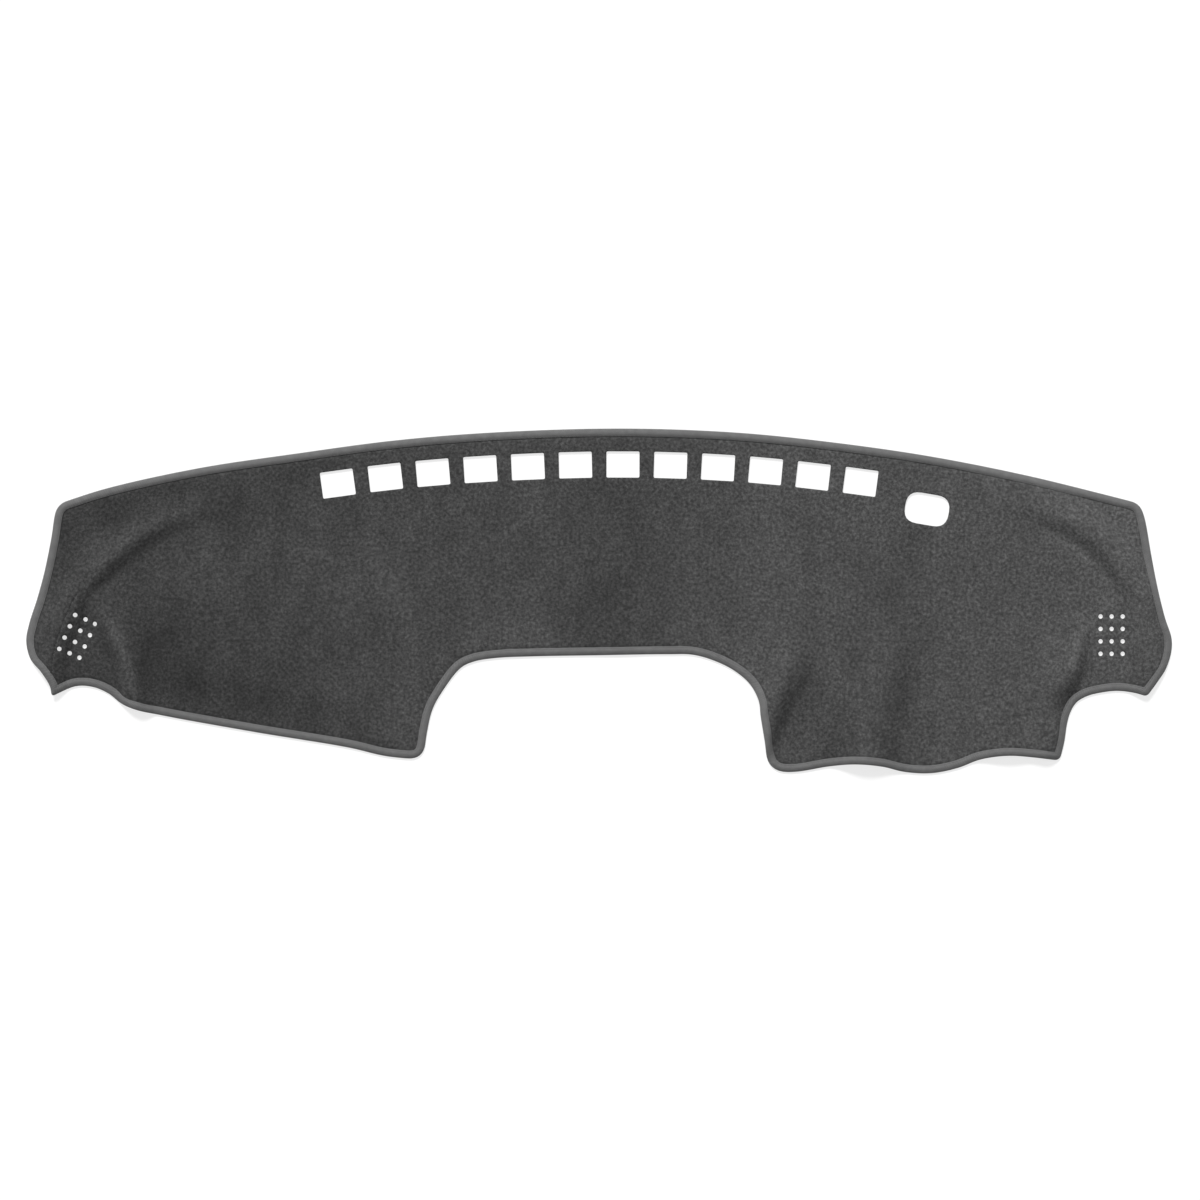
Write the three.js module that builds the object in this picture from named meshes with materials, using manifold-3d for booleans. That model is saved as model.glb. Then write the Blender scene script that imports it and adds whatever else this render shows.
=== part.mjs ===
// Dashboard cover mat: one panel of automotive carpet, cut to the top of a dashboard, with a
// woven tape folded over its edge and sewn down all the way round. It lies face up on a flat
// floor, and keeps the folds that its two end darts and the driver's flap press into it.
//
// Millimetres. X runs along the mat, Y from the driver's side to the windscreen, Z up.
// The origin is on the floor, under the middle of the mat.

import * as THREE from 'three';
import { mergeVertices } from 'three/addons/utils/BufferGeometryUtils.js';
import Module from 'manifold-3d';

const wasm = await Module();
wasm.setup();

// Overall outline, seen from above
const MAT_WIDTH = 1400;
const MAT_DEPTH = 421;
const EDGE_CROWN = 91.5;
const CORNER_INSET = 40;
const END_DEPTH = 236;
const TIP_INSET = 31;
const END_BULGE = 34;
const NOTCH_DEPTH = 45;
const ARCH_DEPTH = 20;

// The flaps either side of the cut-out for the instrument hood
const DRIVER_FLAP_WIDTH = 357;
const DRIVER_FLAP_INSET = 137;
const DRIVER_HEM_RISE = 15;
const HEM_RUFFLE = 9;
const CUTOUT_WIDTH = 421;
const CUTOUT_DEPTH = 136;
const PASSENGER_HEM_RISE = 16;

// Corner roundings, as the length taken off each side of the corner
const WINDSCREEN_CORNER = 9;
const TIP_CORNER = 4;
const NOTCH_CORNER = 6;
const DRIVER_CORNER = 24;
const PASSENGER_CORNER = 19;

// Carpet and tape, in section
const CARPET_THICKNESS = 3;
const RIM_THICKNESS = 1.6;
const TAPE_WIDTH = 10.4;
const TAPE_THICKNESS = 0.6;
const TAPE_ROLL = 1.5;
const TAPE_EDGE = 1.6;
const FIT_GAP = 0.35;
const RIM_OVERLAP = 1;

// Demister windows along the windscreen edge
const WINDOW_COUNT = 12;
const WINDOW_WIDTH = 40.4;
const WINDOW_DEPTH = 32;
const WINDOW_CORNER = 2;
const WINDOW_BRIDGE = 17.7;
const WINDOW_MARGIN = 17.5;

// Window for the light sensor
const SENSOR_WIDTH = 54;
const SENSOR_DEPTH = 38;
const SENSOR_CORNER = 17;
const SENSOR_BRIDGE = 34;
const SENSOR_MARGIN = 36;

// Punched sound holes over the two end vents
const PUNCH_DIAMETER = 5.5;
const PUNCH_ROW_WEB = 9.7;
const LEFT_COLUMN_WEB = 7.4;
const RIGHT_COLUMN_WEB = 8;
const PUNCH_ROWS = 4;
const PUNCH_COLUMNS = 3;
const LEFT_BLOCK_TURN = -25;
const LEFT_BLOCK_FROM_TIP = [31.5, 73.5];
const RIGHT_BLOCK_FROM_TIP = [-42.5, 75];

// Folds: height of each crest and how far its two sides spread
const DART_HEIGHT = 15;
const DART_SPREAD = 36;
const DART_STEEP_SPREAD = 24;
const ARCH_FOLD_HEIGHT = 12;
const ARCH_FOLD_SPREAD = 24;
const FLAP_FOLD_HEIGHT = 14;
const FLAP_FOLD_SPREAD = 58;
const ROLLED_EDGE_HEIGHT = 13;
const ROLLED_EDGE_SPREAD = 21;
const CUTOUT_FOLD_HEIGHT = 12;
const CUTOUT_FOLD_SPREAD = 22;
const CENTRE_FOLD_HEIGHT = 4;
const CENTRE_FOLD_SPREAD = 48;
const CENTRE_FOLD_SETBACK = 100;
const CENTRE_FOLD_LENGTH = 190;
const SWELL_HEIGHT = 8;
const SWELL_SPREAD = 95;

// Packing crease left of the cut-out
const CREASE_LENGTH = 58;
const CREASE_WIDTH = 2.6;
const CREASE_FROM_CORNER = [-37, 83];
const CREASE_TURN = 5;

// Corners of the outline
const left = -MAT_WIDTH / 2;
const right = MAT_WIDTH / 2;
const back = MAT_DEPTH / 2;
const front = -MAT_DEPTH / 2;
const cornerY = back - EDGE_CROWN;
const tipY = cornerY - END_DEPTH;
const leftCorner = [left + CORNER_INSET, cornerY];
const rightCorner = [right - CORNER_INSET, cornerY];
const leftTip = [left + TIP_INSET, tipY];
const rightTip = [right - TIP_INSET, tipY];
const notchFoot = [right - DRIVER_FLAP_INSET, front + DRIVER_HEM_RISE];
const driverFoot = [notchFoot[0] - DRIVER_FLAP_WIDTH, front + 1];
const passengerFoot = [driverFoot[0] - CUTOUT_WIDTH, front + PASSENGER_HEM_RISE];

// One side of the outline: a smooth curve between two corners through a few points, each a
// share of the way along the straight line between them and a share of the side's bow
function side(from, to, bow, corner, shape) {
  const start = new THREE.Vector2(...from);
  const along = new THREE.Vector2(...to).sub(start);
  const outward = new THREE.Vector2(-along.y, along.x).normalize();
  const points = [[0, 0], ...shape, [1, 0]].map(([share, rise]) => {
    const point = start.clone().addScaledVector(along, share).addScaledVector(outward, rise * bow);
    return new THREE.Vector3(point.x, point.y, 0);
  });
  return { curve: new THREE.CatmullRomCurve3(points, false, 'centripetal'), corner };
}

// The sides, clockwise from the windscreen corner on the left; corner rounds the end of each
const sides = [
  side(leftCorner, rightCorner, EDGE_CROWN, WINDSCREEN_CORNER,
    [[0.045, 0.205], [0.13, 0.473], [0.22, 0.667], [0.31, 0.84], [0.4, 0.946], [0.52, 1],
      [0.627, 0.946], [0.717, 0.814], [0.806, 0.63], [0.895, 0.376], [0.965, 0.13]]),
  side(rightCorner, rightTip, END_BULGE, TIP_CORNER,
    [[0.07, 0.17], [0.27, 0.37], [0.46, 0.57], [0.6, 0.78], [0.7, 0.98], [0.77, 0.96],
      [0.86, 0.74], [0.93, 0.39]]),
  side(rightTip, notchFoot, -NOTCH_DEPTH, NOTCH_CORNER,
    [[0.07, 0.27], [0.19, 0.6], [0.34, 0.85], [0.44, 0.965], [0.55, 1], [0.65, 0.89],
      [0.74, 0.69], [0.86, 0.34]]),
  side(notchFoot, driverFoot, HEM_RUFFLE, DRIVER_CORNER,
    [[0.09, -0.59], [0.18, -0.96], [0.27, -0.59], [0.35, 0.46], [0.44, 1.02], [0.53, 0.72],
      [0.61, -0.16], [0.7, -0.61], [0.79, -0.44], [0.9, 0.1]]),
  side(driverFoot, passengerFoot, -CUTOUT_DEPTH, PASSENGER_CORNER,
    [[0.01, 0.23], [0.027, 0.5], [0.034, 0.64], [0.061, 0.785], [0.11, 0.905], [0.168, 0.985],
      [0.229, 1.03], [0.3, 1.027], [0.5, 0.996], [0.7, 0.963], [0.8, 0.938], [0.862, 0.9],
      [0.9, 0.84], [0.949, 0.635], [0.978, 0.46], [0.991, 0.27]]),
  side(passengerFoot, leftTip, ARCH_DEPTH, TIP_CORNER,
    [[0.1, 0.16], [0.2, 0.03], [0.45, 0.06], [0.7, 0.01], [0.77, -0.065], [0.814, -0.28],
      [0.854, -0.765], [0.897, -0.99], [0.942, -0.86]]),
  side(leftTip, leftCorner, END_BULGE, WINDSCREEN_CORNER,
    [[0.05, 0.06], [0.12, 0.38], [0.19, 0.82], [0.28, 1], [0.37, 0.92], [0.5, 0.67],
      [0.64, 0.445], [0.82, 0.24], [0.95, 0.13]]),
];

// A fold: a crest line through points [x, y, share of the height], with the floor as its foot
// on both sides. The left spread is on the left of someone who walks along the crest.
function fold(height, leftSpread, rightSpread, points) {
  const crest = new THREE.CatmullRomCurve3(
    points.map(([x, y, share]) => new THREE.Vector3(x, y, share * height)), false, 'centripetal');
  return { crest: crest.getPoints(6 * (points.length - 1)), leftSpread, rightSpread };
}

const from = (origin, x, y, share) => [origin[0] + x, origin[1] + y, share];

const folds = [
  // Dart at the left end and the arc that runs on from it
  fold(DART_HEIGHT, DART_SPREAD, DART_STEEP_SPREAD, [
    from(leftTip, -3, -12, 0.25), from(leftTip, 4, 54, 0.8), from(leftTip, 14, 86, 0.95),
    from(leftTip, 28, 118, 1), from(leftTip, 41, 139, 0.95), from(leftTip, 65, 165, 0.8),
    from(leftTip, 101, 194, 0.6), from(leftTip, 138, 214, 0.42), from(leftTip, 205, 238, 0.16),
    from(leftTip, 270, 255, 0)]),
  fold(ARCH_FOLD_HEIGHT, ARCH_FOLD_SPREAD, ARCH_FOLD_SPREAD, [
    from(leftTip, 50, 136, 0.2), from(leftTip, 63, 102, 0.8), from(leftTip, 80, 69, 1),
    from(leftTip, 92, 44, 1), from(leftTip, 100, 10, 0.95), from(leftTip, 104, -12, 0.85),
    from(leftTip, 107, -34, 0.7)]),
  // Dart at the right end and its arc
  fold(DART_HEIGHT, DART_SPREAD, DART_STEEP_SPREAD, [
    from(rightTip, 0, -12, 0.25), from(rightTip, -5, 55, 0.7), from(rightTip, -6, 90, 0.85),
    from(rightTip, -13, 126, 0.95), from(rightTip, -35, 163, 1), from(rightTip, -66, 197, 0.9),
    from(rightTip, -116, 223, 0.6), from(rightTip, -177, 246, 0.25),
    from(rightTip, -240, 262, 0)].reverse()),
  // Rolled edge of the driver's flap, which runs on up beside the punched holes
  fold(ROLLED_EDGE_HEIGHT, 2.4 * ROLLED_EDGE_SPREAD, ROLLED_EDGE_SPREAD, [
    from(notchFoot, -24, -12, 0.45), from(notchFoot, -19, 9, 0.65), from(notchFoot, -14, 30, 0.8),
    from(notchFoot, -12, 62, 0.85), from(notchFoot, -4, 84, 0.95), from(notchFoot, 7, 98, 1),
    from(notchFoot, 15, 116, 1), from(notchFoot, 18, 138, 0.9), from(notchFoot, 20, 160, 0.5),
    from(notchFoot, 22, 184, 0)]),
  // Driver's flap: two waves in the hem and a steep fold by the cut-out
  fold(FLAP_FOLD_HEIGHT, FLAP_FOLD_SPREAD - 8, FLAP_FOLD_SPREAD - 8, [
    from(notchFoot, -63, -15, 0.8), from(notchFoot, -63, 36, 0.6), from(notchFoot, -66, 86, 0.3),
    from(notchFoot, -70, 146, 0)]),
  fold(FLAP_FOLD_HEIGHT, FLAP_FOLD_SPREAD - 12, FLAP_FOLD_SPREAD, [
    from(driverFoot, 116, -5, 1), from(driverFoot, 120, 33, 1), from(driverFoot, 128, 76, 0.9),
    from(driverFoot, 140, 113, 0.72), from(driverFoot, 153, 149, 0.45),
    from(driverFoot, 164, 180, 0.2), from(driverFoot, 172, 213, 0)]),
  fold(CUTOUT_FOLD_HEIGHT, CUTOUT_FOLD_SPREAD + 20, CUTOUT_FOLD_SPREAD, [
    from(driverFoot, -8, 34, 0.7), from(driverFoot, 3, 60, 0.9), from(driverFoot, 13, 84, 1),
    from(driverFoot, 27, 110, 0.85), from(driverFoot, 40, 131, 0.4),
    from(driverFoot, 54, 152, 0)]),
  // Low fold across the middle, and the gentle swell of the passenger's half
  fold(CENTRE_FOLD_HEIGHT, CENTRE_FOLD_SPREAD, CENTRE_FOLD_SPREAD,
    [[8, 0, 0], [13, 0.32, 1], [19, 0.58, 1], [25, 0.85, 0.4], [27, 1, 0]].map(([x, along, share]) => (
      [x, back - CENTRE_FOLD_SETBACK - along * CENTRE_FOLD_LENGTH, share]))),
  fold(SWELL_HEIGHT, SWELL_SPREAD, SWELL_SPREAD, [
    from(leftTip, 110, 128, 0), from(leftTip, 190, 120, 0.9), from(leftTip, 300, 112, 1),
    from(leftTip, 400, 108, 0.5), from(leftTip, 470, 105, 0)]),
];

// Height of a fold above the floor at a point in the plan
function foldHeight({ crest, leftSpread, rightSpread }, x, y) {
  let nearest = Infinity;
  let top = 0;
  let isLeft = true;
  for (let i = 0; i + 1 < crest.length; i += 1) {
    const a = crest[i];
    const dx = crest[i + 1].x - a.x;
    const dy = crest[i + 1].y - a.y;
    const share = THREE.MathUtils.clamp(
      ((x - a.x) * dx + (y - a.y) * dy) / (dx * dx + dy * dy), 0, 1);
    const distance = Math.hypot(x - a.x - share * dx, y - a.y - share * dy);
    if (distance < nearest) {
      nearest = distance;
      top = Math.max(0, THREE.MathUtils.lerp(a.z, crest[i + 1].z, share));
      isLeft = dx * (y - a.y) - dy * (x - a.x) > 0;
    }
  }
  const reach = nearest / (isLeft ? leftSpread : rightSpread);
  return reach < 1 ? top * (1 + Math.cos(Math.PI * reach)) / 2 : 0;
}

// Underside of the carpet above the floor. Folds that meet blend into the higher one.
const FOLD_BLEND = 3;
function underside(x, y) {
  let sum = 0;
  for (const each of folds) {
    sum += foldHeight(each, x, y) ** FOLD_BLEND;
  }
  return sum ** (1 / FOLD_BLEND);
}

// How much a vertical thickness grows on a slope, so that the sheet keeps its own thickness
const SLOPE_STEP = 0.5;
function steepness(x, y) {
  const slopeX = (underside(x + SLOPE_STEP, y) - underside(x - SLOPE_STEP, y)) / (2 * SLOPE_STEP);
  const slopeY = (underside(x, y + SLOPE_STEP) - underside(x, y - SLOPE_STEP)) / (2 * SLOPE_STEP);
  return Math.hypot(1, slopeX, slopeY);
}

// Lays a flat geometry over the folds
function drape(geometry) {
  const position = geometry.attributes.position;
  for (let i = 0; i < position.count; i += 1) {
    const x = position.getX(i);
    const y = position.getY(i);
    position.setZ(i, underside(x, y) + position.getZ(i) * steepness(x, y));
  }
  return geometry;
}

// The outline as closely spaced points, with its corners rounded
const TRACE_STEP = 2;
const CORNER_STEPS = 8;
function traceOutline() {
  const trace = [];
  sides.forEach(({ curve, corner }, index) => {
    const before = sides[(index + sides.length - 1) % sides.length];
    const steps = Math.ceil(curve.getLength() / TRACE_STEP);
    const points = curve.getSpacedPoints(steps).map(({ x, y }) => new THREE.Vector2(x, y));
    const foot = points[0];
    const head = points[steps];
    const kept = points.filter((point) => point.distanceTo(foot) > before.corner
      && point.distanceTo(head) > corner);
    if (trace.length > 0) {
      const bend = new THREE.QuadraticBezierCurve(trace[trace.length - 1], foot, kept[0]);
      trace.push(...bend.getPoints(CORNER_STEPS).slice(1, -1));
    }
    trace.push(...kept);
  });
  const bend = new THREE.QuadraticBezierCurve(
    trace[trace.length - 1], new THREE.Vector2(...leftCorner), trace[0]);
  trace.push(...bend.getPoints(CORNER_STEPS).slice(1, -1));
  return trace;
}

// Direction into the mat at each point of a closed line that runs clockwise
function inwardNormals(line) {
  return line.map((point, index) => {
    const before = line[(index + line.length - 1) % line.length];
    const after = line[(index + 1) % line.length];
    const entry = point.clone().sub(before).normalize();
    const tangent = after.clone().sub(point).normalize().add(entry).normalize();
    return new THREE.Vector2(tangent.y, -tangent.x);
  });
}

// Stations along the outline: a long straight run on the flat needs few, a bend or a fold many.
// Both edges of the tape have to stay within the tolerance of the true curve.
const STATION_TOLERANCE = 0.45;
const STATION_SPAN = 60;
function chooseStations(trace) {
  const normals = inwardNormals(trace);
  const raise = ({ x, y }) => new THREE.Vector3(x, y, underside(x, y));
  const outer = trace.map(raise);
  const inner = trace.map((point, index) => (
    raise(point.clone().addScaledVector(normals[index], TAPE_WIDTH))));
  const nearest = new THREE.Vector3();
  const strays = (line, start, end) => {
    const chord = new THREE.Line3(line[start], line[end]);
    return line.slice(start + 1, end).some((point) => (
      chord.closestPointToPoint(point, true, nearest).distanceTo(point) > STATION_TOLERANCE));
  };
  const chosen = [0];
  for (let end = 2; end < trace.length; end += 1) {
    const start = chosen[chosen.length - 1];
    const isLong = outer[start].distanceTo(outer[end]) > STATION_SPAN;
    if (isLong || strays(outer, start, end) || strays(inner, start, end)) {
      chosen.push(end - 1);
    }
  }
  return chosen.map((index) => trace[index]);
}

const stations = chooseStations(traceOutline());

// Direction across the tape at each station, pointing into the mat. It is shortened where
// the edge is turned down, because the tape keeps its width along the slope.
const inward = inwardNormals(stations).map((normal, index) => {
  const point = stations[index];
  const inner = point.clone().addScaledVector(normal, TAPE_WIDTH);
  const rise = underside(inner.x, inner.y) - underside(point.x, point.y);
  return normal.multiplyScalar(TAPE_WIDTH / Math.hypot(TAPE_WIDTH, rise));
});

// Where two segments of a rail cross, or nothing
function crossing(a, b, c, d) {
  const ab = b.clone().sub(a);
  const cd = d.clone().sub(c);
  const ac = c.clone().sub(a);
  const scale = ab.cross(cd);
  if (scale === 0) {
    return null;
  }
  const share = ac.cross(cd) / scale;
  const other = ac.cross(ab) / scale;
  const meets = share >= 0 && share <= 1 && other >= 0 && other <= 1;
  return meets ? a.clone().addScaledVector(ab, share) : null;
}

// The line that runs round the mat at one distance in from its edge. At a sharp corner the
// stations past the mitre all go to the mitre's own point. No such loop is longer than a set
// share of the way round.
const LOOP_SHARE = 0.2;
function rail(inset) {
  const points = stations.map((point, index) => point.clone().addScaledVector(inward[index], inset));
  const count = points.length;
  const longest = Math.floor(count * LOOP_SHARE);
  const at = (index) => points[(index + count) % count];
  for (let i = 0; i < count; i += 1) {
    for (let reach = longest; reach > 1; reach -= 1) {
      const j = i + reach;
      const mitre = crossing(at(i), at(i + 1), at(j), at(j + 1));
      if (mitre && at(i + 1).distanceTo(at(j)) > 0) {
        for (let k = i + 1; k <= j; k += 1) {
          points[k % count] = mitre;
        }
        break;
      }
    }
  }
  return points;
}

// A closed section swept round the mat's edge. Each corner of the section is [inset, height].
// The diagonals all run inwards the same way, so that the rim and its slot twist alike.
function sweepRound(section) {
  const rails = section.map(([inset]) => rail(inset));
  const count = stations.length;
  const sides = section.length;
  const positions = [];
  for (let i = 0; i < count; i += 1) {
    section.forEach(([, height], j) => positions.push(rails[j][i].x, rails[j][i].y, height));
  }
  const triangles = [];
  for (let i = 0; i < count; i += 1) {
    for (let j = 0; j < sides; j += 1) {
      const a = i * sides + j;
      const b = i * sides + (j + 1) % sides;
      const c = ((i + 1) % count) * sides + j;
      const d = ((i + 1) % count) * sides + (j + 1) % sides;
      if (section[j][0] < section[(j + 1) % sides][0]) {
        triangles.push(a, b, d, a, d, c);
      } else {
        triangles.push(a, b, c, b, d, c);
      }
    }
  }
  const geometry = new THREE.BufferGeometry();
  geometry.setAttribute('position', new THREE.Float32BufferAttribute(positions, 3));
  geometry.setIndex(triangles);
  return weld(geometry);
}

// Shared vertices merged, and triangles that a mitre closed up taken out
function weld(geometry) {
  const bare = geometry.clone();
  bare.deleteAttribute('normal');
  bare.deleteAttribute('uv');
  const merged = mergeVertices(bare, 1e-4);
  const index = merged.index.array;
  const kept = [];
  for (let i = 0; i < index.length; i += 3) {
    const [a, b, c] = index.slice(i, i + 3);
    if (a !== b && b !== c && c !== a) {
      kept.push(a, b, c);
    }
  }
  merged.setIndex(kept);
  return merged;
}

// Numbers for the triangles of a flat geometry. Those with one number can join when they are
// cut, so it gives 0 where the sheet will lie on the floor and a number each under the folds.
const FLAT_LIMIT = 0.02;
function faceNumbers(positions, triangles) {
  const numbers = new Uint32Array(triangles.length / 3);
  return numbers.map((_, face) => {
    const corners = triangles.slice(3 * face, 3 * face + 3);
    const isFlat = corners.every((corner) => (
      underside(positions.getX(corner), positions.getY(corner)) < FLAT_LIMIT));
    return isFlat ? 0 : face + 1;
  });
}

// A closed geometry as a solid, which keeps the triangles that have to bend if keepFolds is set
function toSolid(geometry, keepFolds = false) {
  const welded = weld(geometry);
  const triVerts = new Uint32Array(welded.index.array);
  const mesh = {
    numProp: 3,
    vertProperties: new Float32Array(welded.attributes.position.array),
    triVerts,
  };
  if (keepFolds) {
    mesh.faceID = faceNumbers(welded.attributes.position, triVerts);
  }
  return new wasm.Manifold(new wasm.Mesh(mesh));
}

function toGeometry(solid) {
  const mesh = solid.getMesh();
  const geometry = new THREE.BufferGeometry();
  geometry.setAttribute('position', new THREE.BufferAttribute(mesh.vertProperties, 3));
  geometry.setIndex(new THREE.BufferAttribute(mesh.triVerts, 1));
  return weld(geometry);
}

// A flat shape as a cutter that reaches past both faces of the carpet
function punch(shape, curveSegments = 1) {
  const depth = 3 * CARPET_THICKNESS;
  const cutter = new THREE.ExtrudeGeometry(shape, { depth, curveSegments, bevelEnabled: false });
  return cutter.translate(0, 0, -CARPET_THICKNESS);
}

function roundedShape(width, depth, corner) {
  const x = width / 2;
  const y = depth / 2;
  const shape = new THREE.Shape();
  shape.moveTo(-x + corner, -y);
  shape.lineTo(x - corner, -y);
  shape.quadraticCurveTo(x, -y, x, -y + corner);
  shape.lineTo(x, y - corner);
  shape.quadraticCurveTo(x, y, x - corner, y);
  shape.lineTo(-x + corner, y);
  shape.quadraticCurveTo(-x, y, -x, y - corner);
  shape.lineTo(-x, -y + corner);
  shape.quadraticCurveTo(-x, -y, -x + corner, -y);
  return shape;
}

// Place and turn of a window that lies a set distance in from the windscreen edge
function edgePlace(x, setBack) {
  const curve = sides[0].curve;
  let low = 0;
  let high = 1;
  while (high - low > 1e-4) {
    const middle = (low + high) / 2;
    if (curve.getPoint(middle).x < x) {
      low = middle;
    } else {
      high = middle;
    }
  }
  const tangent = curve.getTangent(low);
  return { x, y: curve.getPoint(low).y - setBack, turn: Math.atan2(tangent.y, tangent.x) };
}

function windowCutters() {
  const pitch = WINDOW_WIDTH + WINDOW_BRIDGE;
  const setBack = TAPE_WIDTH + WINDOW_MARGIN + WINDOW_DEPTH / 2;
  const shape = roundedShape(WINDOW_WIDTH, WINDOW_DEPTH, WINDOW_CORNER);
  const cutters = [];
  for (let i = 0; i < WINDOW_COUNT; i += 1) {
    const { x, y, turn } = edgePlace((i - (WINDOW_COUNT - 1) / 2) * pitch, setBack);
    cutters.push(punch(shape).rotateZ(turn).translate(x, y, 0));
  }
  const rowEnd = WINDOW_COUNT * pitch / 2 - WINDOW_BRIDGE / 2;
  const sensor = edgePlace(
    rowEnd + SENSOR_BRIDGE + SENSOR_WIDTH / 2, TAPE_WIDTH + SENSOR_MARGIN + SENSOR_DEPTH / 2);
  const sensorShape = roundedShape(SENSOR_WIDTH, SENSOR_DEPTH, SENSOR_CORNER);
  cutters.push(punch(sensorShape, 4).rotateZ(sensor.turn).translate(sensor.x, sensor.y, 0));
  return cutters;
}

// A block of punched holes, in rows and columns about its own middle
const PUNCH_SIDES = 8;
function punchBlock(centre, columnWeb, turn) {
  const rowPitch = PUNCH_DIAMETER + PUNCH_ROW_WEB;
  const columnPitch = PUNCH_DIAMETER + columnWeb;
  const cutters = [];
  for (let row = 0; row < PUNCH_ROWS; row += 1) {
    for (let column = 0; column < PUNCH_COLUMNS; column += 1) {
      const cutter = new THREE.CylinderGeometry(
        PUNCH_DIAMETER / 2, PUNCH_DIAMETER / 2, 3 * CARPET_THICKNESS, PUNCH_SIDES);
      cutter.rotateX(Math.PI / 2);
      cutter.translate(
        (column - (PUNCH_COLUMNS - 1) / 2) * columnPitch,
        (row - (PUNCH_ROWS - 1) / 2) * rowPitch, CARPET_THICKNESS / 2);
      cutter.rotateZ(THREE.MathUtils.degToRad(turn));
      cutters.push(cutter.translate(centre[0], centre[1], 0));
    }
  }
  return cutters;
}

// The crease is a V groove that runs out to nothing at both ends
function creaseCutter() {
  const cutter = new THREE.OctahedronGeometry(1);
  cutter.scale(CREASE_WIDTH / 2, CREASE_LENGTH / 2, CREASE_WIDTH / 2);
  cutter.rotateZ(THREE.MathUtils.degToRad(-CREASE_TURN));
  return cutter.translate(
    passengerFoot[0] + CREASE_FROM_CORNER[0], passengerFoot[1] + CREASE_FROM_CORNER[1],
    CARPET_THICKNESS);
}

// Grid lines between two limits, with a cell size of its own up to each stop
function gridLines(start, stops) {
  const lines = [start];
  for (const [stop, cell] of stops) {
    const from = lines[lines.length - 1];
    const count = Math.max(1, Math.round((stop - from) / cell));
    for (let i = 1; i <= count; i += 1) {
      lines.push(from + (stop - from) * i / count);
    }
  }
  return lines;
}

// Flat sheet of carpet in small cells where it has to follow folds
const DART_ZONE = 150;
const ARC_ZONE = 240;
const ZONE_MARGIN = 20;
const FINE_CELL = 15;
const FLAP_CELL = 23;
const COARSE_CELL = 44;
function flatSheet() {
  const columns = gridLines(left - 1, [
    [leftTip[0] + DART_ZONE, FINE_CELL], [leftTip[0] + ARC_ZONE, FLAP_CELL],
    [driverFoot[0] - ZONE_MARGIN, COARSE_CELL], [notchFoot[0] - ZONE_MARGIN, FLAP_CELL],
    [right + 1, FINE_CELL]]);
  const rows = gridLines(front - 1, [
    [tipY - ZONE_MARGIN, COARSE_CELL], [tipY + DART_ZONE, FINE_CELL],
    [cornerY + ZONE_MARGIN / 2, FLAP_CELL], [back + 1, COARSE_CELL]]);
  const sheet = new THREE.BoxGeometry(
    columns.length - 1, rows.length - 1, CARPET_THICKNESS, columns.length - 1, rows.length - 1);
  sheet.translate((columns.length - 1) / 2, (rows.length - 1) / 2, CARPET_THICKNESS / 2);
  const position = sheet.attributes.position;
  for (let i = 0; i < position.count; i += 1) {
    position.setX(i, columns[Math.round(position.getX(i))]);
    position.setY(i, rows[Math.round(position.getY(i))]);
  }
  return sheet;
}

// Levels in the tape's slot, up from the underside
const slotBottom = TAPE_THICKNESS;
const rimBottom = slotBottom + FIT_GAP;
const rimTop = rimBottom + RIM_THICKNESS;
const slotTop = rimTop + FIT_GAP;
const crown = slotTop + TAPE_ROLL;
const slotEnd = TAPE_EDGE;
const rimEdge = slotEnd + FIT_GAP;
const panelEdge = TAPE_WIDTH + FIT_GAP;
const tapeMiddle = TAPE_WIDTH * 0.55;

// Carpet panel: full pile up to the tape, then a rim pressed thin that goes into the tape
function carpetPanel() {
  const edge = rail(panelEdge).filter(
    (point, index, all) => point.distanceTo(all[(index + 1) % all.length]) > 1e-3);
  const rim = sweepRound([
    [rimEdge, rimBottom], [rimEdge, rimTop], [tapeMiddle, rimTop],
    [panelEdge + RIM_OVERLAP, rimTop], [panelEdge + RIM_OVERLAP, rimBottom],
    [tapeMiddle, rimBottom]]);
  let panel = toSolid(flatSheet(), true).intersect(toSolid(punch(new THREE.Shape(edge))));
  panel = panel.add(toSolid(rim, true));
  const leftBlock = [leftTip[0] + LEFT_BLOCK_FROM_TIP[0], leftTip[1] + LEFT_BLOCK_FROM_TIP[1]];
  const rightBlock = [rightTip[0] + RIGHT_BLOCK_FROM_TIP[0], rightTip[1] + RIGHT_BLOCK_FROM_TIP[1]];
  const cutters = [
    ...windowCutters(),
    ...punchBlock(leftBlock, LEFT_COLUMN_WEB, LEFT_BLOCK_TURN),
    ...punchBlock(rightBlock, RIGHT_COLUMN_WEB, 0),
    creaseCutter(),
  ];
  for (const cutter of cutters) {
    panel = panel.subtract(toSolid(cutter));
  }
  return drape(toGeometry(panel));
}

// Edge binding: a tape folded round the rim, its upper side a full round roll
function edgeBinding() {
  return drape(sweepRound([
    [0, crown * 0.5], [TAPE_WIDTH * 0.16, crown * 0.92], [tapeMiddle, crown],
    [TAPE_WIDTH, slotTop + TAPE_THICKNESS], [TAPE_WIDTH, slotTop], [tapeMiddle, slotTop],
    [slotEnd, slotTop], [slotEnd, slotBottom], [tapeMiddle, slotBottom],
    [TAPE_WIDTH, slotBottom], [TAPE_WIDTH, 0], [tapeMiddle, 0], [TAPE_WIDTH * 0.1, 0]]));
}

const carpetMaterial = new THREE.MeshStandardMaterial({ color: 0x4c4c4c, roughness: 0.95 });
const tapeMaterial = new THREE.MeshStandardMaterial({ color: 0x6b6b6b, roughness: 0.8 });

function piece(name, geometry, material) {
  geometry.computeVertexNormals();
  const mesh = new THREE.Mesh(geometry, material);
  mesh.name = name;
  return mesh;
}

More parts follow.
